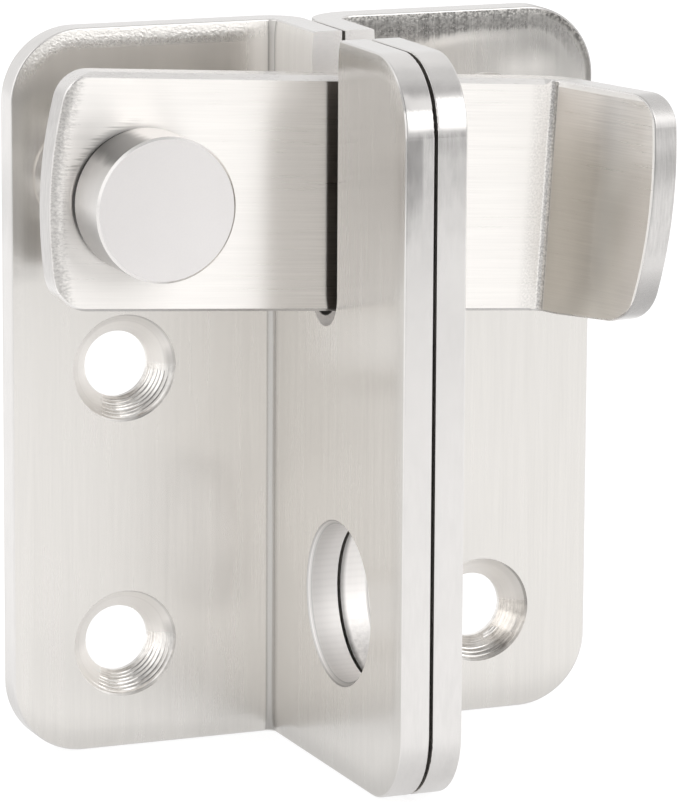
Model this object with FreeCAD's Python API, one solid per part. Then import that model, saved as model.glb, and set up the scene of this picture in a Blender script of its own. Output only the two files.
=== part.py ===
# Flip gate latch: two bent plate brackets, a flip arm on a riveted pivot.
# Units mm. X to the right along the mounting plates, Y into the wall, Z up.
# The origin of the written parts is the middle of the latch bracket's two
# screw holes, on the back of its plate.
import FreeCAD, Part
import math
import os

V = FreeCAD.Vector

# ---------------------------------------------------------------- sizes, mm
# Bench coordinates used below: X = 0 is the plane between the two flanges,
# Y = 0 the wall, Z = 0 the lower edge of both brackets.
PLATE_T = 3.0              # sheet thickness
HEIGHT = 70.0              # height of both brackets
DEPTH = 34.8               # flange reach from the wall
LEAF_LATCH = 29.6          # outer edge of the latch plate from X = 0
LEAF_STRIKE = 30.35        # outer edge of the strike plate from X = 0
HALF_GAP = 0.17            # half the gap between the flanges
CORNER_R = 7.0             # rounded outer corners, plates and flanges
BEND_IN = {-1: 0.6, 1: 2.4}  # inside bend radius, latch and strike bracket
EDGE_R = 0.2               # rounded edges on the faces in view
ROLL_W = {-1: 2.0, 1: 2.2}   # rolled-over margin of the punched face, width
ROLL_D = {-1: 0.20, 1: 0.08} # the same, how far it falls away at the edge
BACK_EDGE_R = 0.12         # broken edges on the wall side and in the gap

SLOT_Y = -15.95            # middle of the arm slot
SLOT_W = 6.4               # slot width
SLOT_Z_LATCH = 42.6        # floor of the slot, latch flange
SLOT_Z_STRIKE = 41.0       # floor of the slot, strike flange

LOCK_Y = -19.8             # padlock hole centre
LOCK_Z = 16.65
LOCK_R = 7.5
LOCK_CH = 0.42             # chamfer at the outer mouth of each flange

SCREW_X_LATCH = -18.34     # screw line of the latch plate
SCREW_X_STRIKE = 18.92
SCREW_Z_LOW = 10.2
SCREW_Z_LATCH = 37.2       # upper hole, clear of the arm
SCREW_Z_STRIKE = 58.6      # upper hole, behind the arm
SCREW_R = 3.2              # through hole
SINK_R = 5.2               # countersink at the face
SINK_LIP = (0.14, 0.32)    # steep lip at the rim: in from the rim, down
SINK_THROAT = 0.55         # straight wall left below the cone
# chatter grooves of each countersink: start and end down the cone (0 rim, 1
# throat), depth, off-centre, direction of the deepest point, then where a
# groove stops short: its end and its sweep in degrees (0 right, 90 up)
CHATTER = {
    "latch_low": ((0.06, 0.20, 0.055, 0.10, -80, None), (0.22, 0.35, 0.060, 0.12, -66, None),
                  (0.37, 0.49, 0.065, 0.11, -58, None), (0.51, 0.64, 0.060, 0.14, -72, None),
                  (0.66, 0.78, 0.060, 0.16, -50, None), (0.80, 0.93, 0.050, 0.22, -62, None)),
    "latch_up": ((0.10, 0.22, 0.060, 0.11, -70, (-14, 180)), (0.24, 0.37, 0.065, 0.12, -60, (-8, 180)),
                 (0.39, 0.50, 0.065, 0.10, -66, (-8, 180)), (0.52, 0.63, 0.060, 0.13, -56, (-7, 180)),
                 (0.65, 0.78, 0.060, 0.12, -70, (-8, 180)), (0.80, 0.92, 0.050, 0.14, -60, (-10, 180))),
    "strike": ((0.10, 0.24, 0.045, 0.0, 0, (-14, 22)), (0.72, 0.80, 0.050, 0.0, 0, (-42, 26)),
               (0.82, 0.90, 0.050, 0.0, 0, (-44, 22)), (0.08, 0.20, 0.050, 0.22, -98, None),
               (0.24, 0.36, 0.040, 0.20, -104, None), (0.42, 0.52, 0.030, 0.18, -96, None)),
}

PIV_X = -22.09             # pivot
PIV_Z = 56.03
JOURNAL_R = 3.5            # rivet in the arm
SHANK_R = 3.0              # rivet in the spacer and plate
BORE_PLAY = 0.05           # radial running clearance in the arm
SEAT_PLAY = 0.02           # clearance of fixed pieces on the shank
TAIL_PLAY = 0.05           # the same around the peened tail
TAIL_R = 4.6               # peened tail at the back of the plate
HEAD_R = 6.76
HEAD_H = 6.07
HEAD_CH = 0.22
SPACER_R = 5.3
ARM_WASHER_R = 6.2
ARM_WASHER_T = 0.5
HEAD_WASHER_R = 6.6
HEAD_WASHER_T = 0.56

ARM_T = 3.0
ARM_FRONT = -17.8          # front face of the arm
ARM_DROOP = 3.69           # degrees below level at rest
ARM_UP = 11.68             # upper edge from the pivot
ARM_DOWN = 10.48           # lower edge from the pivot
ARM_TAIL = 8.9             # rounded end left of the pivot
ARM_END_R = 43.0           # crown of both ends
ARM_BEND_U = 41.05         # crease of the tab from the pivot
TAB_ANGLE = 68.2           # how far the tab is bent out
TAB_LEN = 13.4             # tab from the crease
TAB_BEND_IN = 0.8
TAB_TAPER = 0.42           # how far the tab's lower edge rises towards its end
ARM_EDGE_R = 0.22          # long edges and ends, side in view
ARM_BACK_R = 0.15          # the same on the back
ARM_BEVEL = {1: (0.45, 0.50), -1: (0.28, 0.28)}  # ground bevel of the strap's upper and lower edge: back, across
ARM_ROLL_W = 1.8           # rolled-over margin at the rounded end, width
ARM_ROLL_D = 0.25          # the same, how far it falls away at the edge

# shift from bench coordinates to the origin named above
SHIFT = V(-SCREW_X_LATCH, 0, -(SCREW_Z_LOW + SCREW_Z_LATCH) / 2.0)


# ---------------------------------------------------------------- helpers
def poly_face(pts):
    return Part.Face(Part.makePolygon(list(pts) + [pts[0]]))


def turned(points, x, z):
    """Solid of revolution about the line (x, *, z); points are (radius, y)."""
    pts = [V(x + r, y, z) for r, y in points]
    return poly_face(pts).revolve(V(x, 0, z), V(0, 1, 0), 360)


def near(a, b, tol=1e-4):
    return abs(a - b) < tol


def roll_face(at, w, d, m=1.0):
    """Closed face of what a rolled margin takes away. at(u, v) places a point
    u in from the outline and v down into the metal."""
    r = (w * w + d * d) / (2.0 * d)
    h = math.asin(w / r) / 2.0
    return Part.Face(Part.Wire([
        Part.Arc(at(w, 0), at(w - r * math.sin(h), r - r * math.cos(h)), at(0, d)).toShape(),
        Part.makeLine(at(0, d), at(-m, d)),
        Part.makeLine(at(-m, d), at(-m, -m)),
        Part.makeLine(at(-m, -m), at(w, -m)),
        Part.makeLine(at(w, -m), at(w, 0)),
    ]))


def roll_line(a, b, inward, down, w, d):
    """Rolled margin along a straight outline edge from a to b."""
    return roll_face(lambda u, v: a + inward * u + down * v, w, d).extrude(b - a)


def roll_corner(c, r, start, down, deg, w, d):
    """Rolled margin round a convex corner of radius r about c."""
    return roll_face(lambda u, v: c + start * (r - u) + down * v, w, d).revolve(c, down, deg)


def roll_bend(c, r, start, inward, deg, w, d):
    """Rolled margin along the edge of an inside bend of radius r about c."""
    return roll_face(lambda u, v: c + start * (r + v) + inward * u, w, d, min(1.0, r * 0.8)).revolve(c, inward, deg)


def corner_cutter(axis, a, b, sa, sb, lo, hi):
    """Piece outside a rounded corner at (a, b); sa, sb point into the sheet."""
    r, m = CORNER_R, 2.0
    if axis == "Y":
        P = lambda p, q, w: V(p, w, q)
        d = V(0, hi - lo, 0)
    else:
        P = lambda p, q, w: V(w, p, q)
        d = V(hi - lo, 0, 0)
    s = math.sqrt(0.5)
    c1, c2 = a + sa * r, b + sb * r
    arc = Part.Arc(P(c1, b, lo), P(c1 - sa * r * s, c2 - sb * r * s, lo), P(a, c2, lo)).toShape()
    w = Part.Wire([
        arc,
        Part.makeLine(P(a, c2, lo), P(a - sa * m, c2, lo)),
        Part.makeLine(P(a - sa * m, c2, lo), P(a - sa * m, b - sb * m, lo)),
        Part.makeLine(P(a - sa * m, b - sb * m, lo), P(c1, b - sb * m, lo)),
        Part.makeLine(P(c1, b - sb * m, lo), P(c1, b, lo)),
    ])
    return Part.Face(w).extrude(d)


def bracket_blank(side, leaf, bend_in):
    """L section extruded upwards. side -1: plate to the left, +1: to the right."""
    s = side
    xg = s * HALF_GAP                      # outer face of the flange
    xi = s * (HALF_GAP + PLATE_T)          # inner face of the flange
    xe = s * leaf
    ro, ri, t = bend_in + PLATE_T, bend_in, PLATE_T
    k = math.sqrt(0.5)
    co = V(xg + s * ro, -ro, 0)            # centre of both bend arcs
    edges = [
        Part.makeLine(V(xe, 0, 0), V(xg + s * ro, 0, 0)),
        Part.Arc(V(xg + s * ro, 0, 0), V(co.x - s * ro * k, co.y + ro * k, 0), V(xg, -ro, 0)).toShape(),
        Part.makeLine(V(xg, -ro, 0), V(xg, -DEPTH, 0)),
        Part.makeLine(V(xg, -DEPTH, 0), V(xi, -DEPTH, 0)),
        Part.makeLine(V(xi, -DEPTH, 0), V(xi, -t - ri, 0)),
        Part.Arc(V(xi, -t - ri, 0), V(co.x - s * ri * k, co.y + ri * k, 0), V(xi + s * ri, -t, 0)).toShape(),
        Part.makeLine(V(xi + s * ri, -t, 0), V(xe, -t, 0)),
        Part.makeLine(V(xe, -t, 0), V(xe, 0, 0)),
    ]
    body = Part.Face(Part.Wire(edges)).extrude(V(0, 0, HEIGHT))
    lo, hi = min(xg, xi) - 0.5, max(xg, xi) + 0.5
    cuts = [
        corner_cutter("Y", xe, 0.0, -s, 1, -t - 0.5, 0.5),
        corner_cutter("Y", xe, HEIGHT, -s, -1, -t - 0.5, 0.5),
        corner_cutter("X", -DEPTH, 0.0, 1, 1, lo, hi),
        corner_cutter("X", -DEPTH, HEIGHT, 1, -1, lo, hi),
    ]
    return body.cut(Part.makeCompound(cuts)), lo, hi


def bracket_roll(s, leaf):
    """Rolled margins of a bracket's inner faces, all round the outline."""
    w, d, r, ri = ROLL_W[s], ROLL_D[s], CORNER_R, BEND_IN[s]
    xi, yi = s * (HALF_GAP + PLATE_T), -PLATE_T
    xb, yb = xi + s * ri, yi - ri          # the bend's centre line
    xe, ye = s * leaf, -DEPTH
    back, side = V(0, 1, 0), V(-s, 0, 0)   # into the metal: plate, flange
    cut = [
        roll_line(V(xe, yi, r), V(xe, yi, HEIGHT - r), V(-s, 0, 0), back, w, d),
        roll_line(V(xi, ye, r), V(xi, ye, HEIGHT - r), V(0, 1, 0), side, w, d),
    ]
    for z, k in ((0.0, 1), (HEIGHT, -1)):
        zc = z + k * r
        into = V(0, 0, k)
        cut += [
            roll_line(V(xb, yi, z), V(xe - s * r, yi, z), into, back, w, d),
            roll_line(V(xi, yb, z), V(xi, ye + r, z), into, side, w, d),
            # quarter turns start square to the top or bottom edge
            roll_corner(V(xe - s * r, yi, zc), r, V(0, 0, -k), back, -s * k * 90, w, d),
            roll_corner(V(xi, ye + r, zc), r, V(0, 0, -k), side, s * k * 90, w, d),
            roll_bend(V(xb, yb, z), ri, V(-s, 0, 0), into, -s * k * 90, w, d),
        ]
    return cut


def slot_cutter(floor_z, lo, hi):
    r = SLOT_W / 2.0
    w = Part.Wire([
        Part.Arc(V(lo, SLOT_Y - r, floor_z + r), V(lo, SLOT_Y, floor_z), V(lo, SLOT_Y + r, floor_z + r)).toShape(),
        Part.makeLine(V(lo, SLOT_Y + r, floor_z + r), V(lo, SLOT_Y + r, HEIGHT + 2)),
        Part.makeLine(V(lo, SLOT_Y + r, HEIGHT + 2), V(lo, SLOT_Y - r, HEIGHT + 2)),
        Part.makeLine(V(lo, SLOT_Y - r, HEIGHT + 2), V(lo, SLOT_Y - r, floor_z + r)),
    ])
    return Part.Face(w).extrude(V(hi - lo, 0, 0))


def lock_cutter(s):
    """Padlock hole with a small chamfer at the outer mouth."""
    a, b = HALF_GAP, HALF_GAP + PLATE_T
    r, c = LOCK_R, LOCK_CH
    pts = [(0, a - 1), (r, a - 1), (r, b - c), (r + c + 1, b + 1), (0, b + 1)]
    face = poly_face([V(s * p[1], LOCK_Y, LOCK_Z + p[0]) for p in pts])
    return face.revolve(V(0, LOCK_Y, LOCK_Z), V(1, 0, 0), 360)


def sink_cutters(x, z, chatter):
    """Countersunk screw hole: lip, cone and through hole, then its grooves."""
    face = -PLATE_T
    r0, y0 = SINK_R - SINK_LIP[0], face + SINK_LIP[1]
    r1, y1 = SCREW_R, -SINK_THROAT
    cut = [turned([(0, face - 1), (SINK_R, face - 1), (SINK_R, face), (r0, y0), (r1, y1), (r1, 1.0), (0, 1.0)], x, z)]
    length = math.hypot(r1 - r0, y1 - y0)
    n = ((y1 - y0) / length, (r0 - r1) / length)   # into the metal, square to the cone
    for f0, f1, depth, off, towards, stop in chatter:
        def on(f, out):
            return (r0 + f * (r1 - r0) + n[0] * out, y0 + f * (y1 - y0) + n[1] * out)
        t = math.radians(towards)
        cx, cz = x + off * math.cos(t), z + off * math.sin(t)
        d0 = depth - off * n[0]            # depth where the groove is neither deep nor shallow
        pts = [on(f0, -0.45), on(f0, d0 - depth), on(0.4 * f0 + 0.6 * f1, d0), on(f1, d0 - depth), on(f1, -0.45)]
        face_ = poly_face([V(cx + r, y, cz) for r, y in pts])
        c = V(cx, 0, cz)
        if stop is None:
            cut.append(face_.revolve(c, V(0, 1, 0), 360))
        else:
            face_.rotate(c, V(0, 1, 0), -stop[0])
            cut.append(face_.revolve(c, V(0, 1, 0), stop[1]))
    return cut


def round_edges(shape, pick, r):
    edges = [e for e in shape.Edges if pick(e)]
    return shape.makeFillet(r, edges) if edges else shape


def outline_of(s, front):
    """Picks the outline edges of a bracket's inner faces (front) or of the
    wall and gap faces (not front)."""
    d = ROLL_D[s] if front else 0.0
    px, py = (s * (HALF_GAP + PLATE_T - d), -PLATE_T + d) if front else (s * HALF_GAP, 0.0)

    def pick(e):
        b = e.BoundBox
        if near(b.ZMin, 0) and near(b.ZMax, HEIGHT):
            return False                   # tangent lines of the bend
        if near(b.XMin, px) and near(b.XMax, px):
            return True
        if near(b.YMin, py) and near(b.YMax, py):
            return True
        if near(b.ZMin, b.ZMax) and e.Curve.TypeId == "Part::GeomCircle":
            r = e.Curve.Radius             # the bend's own arcs, top and bottom
            return near(r, BEND_IN[s] + (d if front else PLATE_T))
        return False
    return pick


# ---------------------------------------------------------------- brackets
def make_bracket(side, leaf, bend_in, slot_z, screw_x, screws):
    body, lo, hi = bracket_blank(side, leaf, bend_in)
    for piece in bracket_roll(side, leaf):
        body = body.cut(piece)
    body = round_edges(body, outline_of(side, True), EDGE_R)
    body = round_edges(body, outline_of(side, False), BACK_EDGE_R)
    body = body.cut(slot_cutter(slot_z, lo, hi))
    for z, chatter in screws:
        for piece in sink_cutters(screw_x, z, CHATTER[chatter]):
            body = body.cut(piece)
    return body.cut(lock_cutter(side))


latch = make_bracket(-1, LEAF_LATCH, BEND_IN[-1], SLOT_Z_LATCH, SCREW_X_LATCH,
                     ((SCREW_Z_LOW, "latch_low"), (SCREW_Z_LATCH, "latch_up")))
strike = make_bracket(1, LEAF_STRIKE, BEND_IN[1], SLOT_Z_STRIKE, SCREW_X_STRIKE,
                      ((SCREW_Z_LOW, "strike"), (SCREW_Z_STRIKE, "strike")))

# rivet hole in the latch plate, countersunk from the back for the peened tail
hole_r = SHANK_R + SEAT_PLAY
tail_d = TAIL_R - SHANK_R
latch = latch.cut(turned([(0, -PLATE_T - 1), (hole_r, -PLATE_T - 1), (hole_r, SHANK_R - TAIL_R - TAIL_PLAY + SEAT_PLAY),
                          (TAIL_R + TAIL_PLAY, 0.0), (TAIL_R + TAIL_PLAY, 1.0), (0, 1.0)], PIV_X, PIV_Z))

# ---------------------------------------------------------------- pivot
arm_back = ARM_FRONT + ARM_T
play = 0.02
y_sp0 = -PLATE_T - play
y_sp1 = arm_back + play + ARM_WASHER_T + play
spacer = turned([(SHANK_R + SEAT_PLAY, y_sp0), (SPACER_R - 0.3, y_sp0), (SPACER_R, y_sp0 - 0.3),
                 (SPACER_R, y_sp1 + 0.3), (SPACER_R - 0.3, y_sp1), (SHANK_R + SEAT_PLAY, y_sp1)],
                PIV_X, PIV_Z)

aw0, aw1 = y_sp1 - play, arm_back + play
arm_washer = turned([(SHANK_R + 0.6, aw0), (ARM_WASHER_R, aw0), (ARM_WASHER_R, aw1), (SHANK_R + 0.6, aw1)],
                    PIV_X, PIV_Z)

hw0, hw1 = ARM_FRONT - play, ARM_FRONT - play - HEAD_WASHER_T
head_washer = turned([(JOURNAL_R + 0.1, hw0), (HEAD_WASHER_R, hw0), (HEAD_WASHER_R, hw1), (JOURNAL_R + 0.1, hw1)],
                     PIV_X, PIV_Z)

h0 = hw1 - play
h1 = h0 - HEAD_H
step_y = y_sp1 - play                      # shoulder stands on the spacer
rivet = turned([
    (0, h1), (HEAD_R - HEAD_CH, h1), (HEAD_R, h1 + HEAD_CH), (HEAD_R, h0 - 0.15), (HEAD_R - 0.15, h0),
    (JOURNAL_R, h0), (JOURNAL_R, step_y), (SHANK_R, step_y), (SHANK_R, -tail_d),
    (TAIL_R, -0.04), (TAIL_R - 0.4, -0.01), (0, -0.01)], PIV_X, PIV_Z)


# ---------------------------------------------------------------- flip arm
def arm_shape():
    """Strap in its own frame: U along the strap, W out towards the viewer, S up.
    Built flat on X (U), Y (-W), Z (S), pivot at the origin, front face at Y = 0."""
    a = math.radians(TAB_ANGLE)
    t, ri = ARM_T, TAB_BEND_IN
    ro = ri + t
    # inner side of the bend is the front; crease = where the two front faces meet
    setback_i = ri * math.tan(a / 2.0)
    ua = ARM_BEND_U - setback_i            # flat ends here
    c = V(ua, -ri, 0)                      # bend centre, in front of the strap
    def rot(r, ang):
        return V(c.x + r * math.sin(ang), c.y + r * math.cos(ang), 0)
    tx, ty = math.cos(a), -math.sin(a)     # along the tab
    L = TAB_LEN - setback_i + 3.0
    fi, fo = rot(ri, a), rot(ro, a)
    fi2, fo2 = V(fi.x + tx * L, fi.y + ty * L, 0), V(fo.x + tx * L, fo.y + ty * L, 0)
    left = -ARM_TAIL - 3.0
    edges = [
        Part.makeLine(V(left, 0, 0), V(ua, 0, 0)),
        Part.Arc(V(ua, 0, 0), rot(ri, a / 2), fi).toShape(),
        Part.makeLine(fi, fi2),
        Part.makeLine(fi2, fo2),
        Part.makeLine(fo2, fo),
        Part.Arc(fo, rot(ro, a / 2), V(ua, t, 0)).toShape(),
        Part.makeLine(V(ua, t, 0), V(left, t, 0)),
        Part.makeLine(V(left, t, 0), V(left, 0, 0)),
    ]
    body = Part.Face(Part.Wire(edges)).extrude(V(0, 0, ARM_UP + ARM_DOWN))
    body.translate(V(0, 0, -ARM_DOWN))

    # left end: crowned, with rounded corners; keep = what lies inside the outline
    def end_outline(apex, mid, up, down, r_up, r_dn, inner):
        """Closed wire in (p, q): crowned end at p = apex, bulging to +p."""
        R = ARM_END_R
        cx_ = apex - R
        def corner(q, r, sgn):
            # circle of radius r tangent to the crown (inside) and to q = const
            qc = q - sgn * r
            pc = cx_ + math.sqrt((R - r) ** 2 - (qc - mid) ** 2)
            d = math.hypot(pc - cx_, qc - mid)
            on_crown = (cx_ + (pc - cx_) * R / d, mid + (qc - mid) * R / d)
            on_edge = (pc, q)
            m = math.atan2(on_crown[1] - qc, on_crown[0] - pc)
            n = math.atan2(sgn, 0.0)
            h = (m + n) / 2.0
            return on_edge, (pc + r * math.cos(h), qc + r * math.sin(h)), on_crown
        e1, m1, c1 = corner(up, r_up, 1)
        e2, m2, c2 = corner(down, r_dn, -1)
        return e1, m1, c1, (apex, mid), c2, m2, e2

    def trim(P, d, apex, mid, up, down, r_up, r_dn, back, taper=0.0):
        """Solid covering everything inside the end outline, from p = back."""
        e1, m1, c1, top, c2, m2, e2 = end_outline(apex, mid, up, down, r_up, r_dn, back)
        w = Part.Wire([
            Part.makeLine(P(back, up), P(*e1)),
            Part.Arc(P(*e1), P(*m1), P(*c1)).toShape(),
            Part.Arc(P(*c1), P(*top), P(*c2)).toShape(),
            Part.Arc(P(*c2), P(*m2), P(*e2)).toShape(),
            Part.makeLine(P(*e2), P(back, down - taper)),
            Part.makeLine(P(back, down - taper), P(back, up)),
        ])
        f = Part.Face(w)
        f.translate(d * -20)
        return f.extrude(d * 40)

    up, dn = ARM_UP, -ARM_DOWN
    # left end, p runs to -X
    k1 = trim(lambda p, q: V(-p, 0, q), V(0, 1, 0), ARM_TAIL, 1.0, up, dn, 3.2, 3.6, -30.0)
    # right end, p runs along the tab, cut square to it
    crease = V(ARM_BEND_U, 0, 0)
    n = V(math.sin(a), math.cos(a), 0)
    k2 = trim(lambda p, q: V(crease.x + tx * p, crease.y + ty * p, q), n, TAB_LEN, 3.0, up, dn + TAB_TAPER, 3.3, 4.0, 2.0, TAB_TAPER)
    left_part = body.common(k1)
    # the tab half of the strap is what lies beyond p = 2 along the tab
    s = 2.0
    q0 = V(crease.x + tx * s, crease.y + ty * s, 0)
    cutter = Part.makeBox(60, 40, 60)
    # box whose near face is the plane p = s
    m = FreeCAD.Matrix(tx, n.x, 0, q0.x - n.x * 20, ty, n.y, 0, q0.y - n.y * 20, 0, 0, 1, -30, 0, 0, 0, 1)
    cutter = cutter.transformed(m)
    tab = body.common(cutter).common(k2)
    strap = body.cut(cutter).common(k1.fuse(Part.makeBox(60, 60, 60, V(0, -40, -30)))).fuse(tab).removeSplitter()
    # rolled margin that follows the crown of the rounded end and dies out at its corners
    start = V(-math.cos(math.radians(20)), 0, 1.0 * math.sin(math.radians(20)))
    centre = V(ARM_END_R - ARM_TAIL, 0, 1.0)
    return strap.cut(roll_corner(centre, ARM_END_R, start, V(0, 1, 0), -40, ARM_ROLL_W, ARM_ROLL_D))


arm = arm_shape()


def arm_outline(shape, front):
    """Picks the outline edges of the strap's front (or back) surface."""
    a = math.radians(TAB_ANGLE)
    ri = TAB_BEND_IN
    ua = ARM_BEND_U - ri * math.tan(a / 2.0)

    def off(p):
        """How far behind the front surface a point lies."""
        if p.x <= ua + 1e-6:
            return p.y
        along = (p.x - ARM_BEND_U) * math.cos(a) - p.y * math.sin(a)
        if along >= ri * math.tan(a / 2.0) - 1e-6:
            return (p.x - ARM_BEND_U) * math.sin(a) + p.y * math.cos(a)
        return math.hypot(p.x - ua, p.y + ri) - ri

    def sharp(e):
        """The two faces meet at an angle, rather than running into each other."""
        q = e.valueAt(e.FirstParameter + 0.5 * (e.LastParameter - e.FirstParameter))
        n = [f.normalAt(*f.Surface.parameter(q)) for f in shape.ancestorsOfType(e, Part.Face)]
        return len(n) == 2 and abs(n[0].dot(n[1])) < 0.6

    def pick(e):
        n = [e.valueAt(e.FirstParameter + f * (e.LastParameter - e.FirstParameter)) for f in (0, 0.3, 0.5, 0.8, 1)]
        depth = [off(q) if front else ARM_T - off(q) for q in n]
        return all(-1e-3 < d < ARM_ROLL_D + 0.05 for d in depth) and sharp(e)
    return pick


arm = round_edges(arm, arm_outline(arm, True), ARM_EDGE_R)
arm = round_edges(arm, arm_outline(arm, False), ARM_BACK_R)


def bevel_cutter(k, edge):
    """Ground bevel along a long edge of the strap, running out at the tab.
    k is 1 above and -1 below."""
    back, across = ARM_BEVEL[k]

    def section(u, f):
        # f = 1 full bevel, less runs out of the metal
        a, b = back - (1 - f) * 0.6, across - (1 - f) * 0.6
        g = 0.8
        return Part.makePolygon([V(u, a + g * back / across, edge + k * g), V(u, -g, edge - k * (b + g * across / back)),
                                 V(u, -g - 1.0, edge + k * (g + 1.0)), V(u, a + g * back / across, edge + k * g)])
    return Part.makeLoft([section(-ARM_TAIL - 1.0, 1), section(40.0, 1), section(40.6, 0.45)], True, True)


arm = arm.cut(bevel_cutter(1, ARM_UP)).cut(bevel_cutter(-1, -ARM_DOWN))
arm = arm.cut(Part.makeCylinder(JOURNAL_R + BORE_PLAY, 20, V(0, -10, 0), V(0, 1, 0)))
arm.rotate(V(0, 0, 0), V(0, 1, 0), ARM_DROOP)
arm.translate(V(PIV_X, ARM_FRONT, PIV_Z))

# ---------------------------------------------------------------- write
parts = {
    "latch_bracket": latch,
    "strike_bracket": strike,
    "flip_arm": arm,
    "pivot_rivet": rivet,
    "spacer_bush": spacer,
    "arm_washer": arm_washer,
    "head_washer": head_washer,
}
os.makedirs("parts", exist_ok=True)
for name, shape in parts.items():
    if len(shape.Solids) == 1:
        shape = shape.Solids[0]
    shape.translate(SHIFT)
    shape.exportStep("parts/" + name + ".step")
    bb = shape.BoundBox
    print("%-15s solids %d valid %s volume %.1f  x %.2f..%.2f  y %.2f..%.2f  z %.2f..%.2f" % (
        name, len(shape.Solids), shape.isValid(), shape.Volume, bb.XMin, bb.XMax, bb.YMin, bb.YMax, bb.ZMin, bb.ZMax))
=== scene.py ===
import bpy, math
from mathutils import Matrix, Vector


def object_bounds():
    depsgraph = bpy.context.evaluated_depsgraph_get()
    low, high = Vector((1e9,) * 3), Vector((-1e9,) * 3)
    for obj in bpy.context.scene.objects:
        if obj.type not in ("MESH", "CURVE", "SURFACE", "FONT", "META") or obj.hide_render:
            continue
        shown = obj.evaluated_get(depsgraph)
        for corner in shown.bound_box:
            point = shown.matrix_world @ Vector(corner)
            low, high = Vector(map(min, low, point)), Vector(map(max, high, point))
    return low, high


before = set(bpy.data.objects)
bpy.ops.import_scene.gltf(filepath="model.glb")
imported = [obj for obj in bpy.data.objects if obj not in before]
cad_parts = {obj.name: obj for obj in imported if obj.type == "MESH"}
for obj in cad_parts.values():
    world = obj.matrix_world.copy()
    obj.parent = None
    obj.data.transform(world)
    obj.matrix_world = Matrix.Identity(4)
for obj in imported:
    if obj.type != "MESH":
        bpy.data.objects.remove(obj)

cad_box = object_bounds()

MM = 0.001
SHIFT = Vector((18.34, 0.0, -23.7))          # bench millimetres to the frame's origin


def bench(x, y, z):
    return (Vector((x, y, z)) + SHIFT) * MM


# the part's own sizes, bench millimetres: X = 0 between the flanges, Y = 0 the
# wall, Z = 0 the lower edge
T, HGAP, HEIGHT, DEPTH, CORNER = 3.0, 0.17, 70.0, 34.8, 7.0
LEAF = {-1: 29.6, 1: 30.35}
BEND = {-1: 0.6, 1: 2.4}
SLOT_Y, SLOT_R = -15.95, 3.2
SLOT_FLOOR = {-1: 42.6, 1: 41.0}
LOCK_Y, LOCK_Z, LOCK_R = -19.8, 16.65, 7.5
SCREWS = {-1: ((-18.34, 10.2), (-18.34, 37.2)), 1: ((18.92, 10.2), (18.92, 58.6))}
SINK_R = 5.2
PIV_X, PIV_Z = -22.09, 56.03
ARM_FRONT, DROOP = -17.8, math.radians(3.69)
ARM_UP, ARM_DOWN, CREASE_U, TAB_DEG = 11.68, 10.48, 41.05, math.radians(68.2)
HEAD_R, HEAD_H = 6.76, 6.07

# ------------------------------------------------------------------ camera
IMG_W, IMG_H = 679.0, 802.0
FOCAL_PX = 5374.004
AZ, EL, ROLL = (math.radians(v) for v in (-22.491, 11.635, 0.322))
TX, TY, DIST = 4.851, 31.427, 529.03

back = Vector((math.sin(AZ) * math.cos(EL), -math.cos(AZ) * math.cos(EL), math.sin(EL)))
right0 = Vector((math.cos(AZ), math.sin(AZ), 0.0))
up0 = back.cross(right0)
right = math.cos(ROLL) * right0 + math.sin(ROLL) * up0
up = -math.sin(ROLL) * right0 + math.cos(ROLL) * up0
spot = bench(*(TX * right + TY * up + DIST * back))

cam = bpy.data.cameras.new("camera")
cam_ob = bpy.data.objects.new("camera", cam)
bpy.context.scene.collection.objects.link(cam_ob)
cam.sensor_fit = "HORIZONTAL"
cam.sensor_width = 36.0
cam.lens = FOCAL_PX * 36.0 / IMG_W
cam.clip_start, cam.clip_end = 0.01, 20.0
cam_ob.matrix_world = Matrix((
    (right.x, up.x, back.x, spot.x),
    (right.y, up.y, back.y, spot.y),
    (right.z, up.z, back.z, spot.z),
    (0, 0, 0, 1)))
bpy.context.scene.camera = cam_ob


# ------------------------------------------------------------------ node sums
class E:
    """A number in a node tree, written with ordinary arithmetic."""

    def __init__(self, tree, v):
        self.t, self.v = tree, v

    def op(self, name, *others, clamp=False):
        n = self.t.nodes.new("ShaderNodeMath")
        n.operation = name
        n.use_clamp = clamp
        for i, o in enumerate((self,) + others):
            v = o.v if isinstance(o, E) else o
            if isinstance(v, (int, float)):
                n.inputs[i].default_value = v
            else:
                self.t.links.new(v, n.inputs[i])
        return E(self.t, n.outputs[0])

    def __add__(self, o): return self.op("ADD", o)
    __radd__ = __add__
    def __sub__(self, o): return self.op("SUBTRACT", o)
    def __rsub__(self, o): return E(self.t, o).op("SUBTRACT", self)
    def __mul__(self, o): return self.op("MULTIPLY", o)
    __rmul__ = __mul__
    def __truediv__(self, o): return self.op("DIVIDE", o)
    def __neg__(self): return self.op("MULTIPLY", -1.0)
    def abs(self): return self.op("ABSOLUTE")
    def sqrt(self): return self.op("SQRT")
    def sin(self): return self.op("SINE")
    def min(self, o): return self.op("MINIMUM", o)
    def max(self, o): return self.op("MAXIMUM", o)
    def pow(self, o): return self.op("POWER", o)
    def atan2(self, o): return self.op("ARCTAN2", o)
    def unit(self): return self.op("ADD", 0.0, clamp=True)

    def lin(self, a, b, c=0.0, d=1.0, kind="LINEAR"):
        n = self.t.nodes.new("ShaderNodeMapRange")
        n.interpolation_type = kind
        for i, x in zip((1, 2, 3, 4), (a, b, c, d)):
            n.inputs[i].default_value = x
        self.t.links.new(self.v, n.inputs[0])
        return E(self.t, n.outputs[0])

    def smooth(self, a, b, c=0.0, d=1.0):
        return self.lin(a, b, c, d, "SMOOTHSTEP")

    def near(self, at, width):
        """1 at the value, falling to 0 at the given distance."""
        return (self - at).abs().smooth(width, 0.0)


def hyp(a, b):
    return (a * a + b * b).sqrt()


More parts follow.
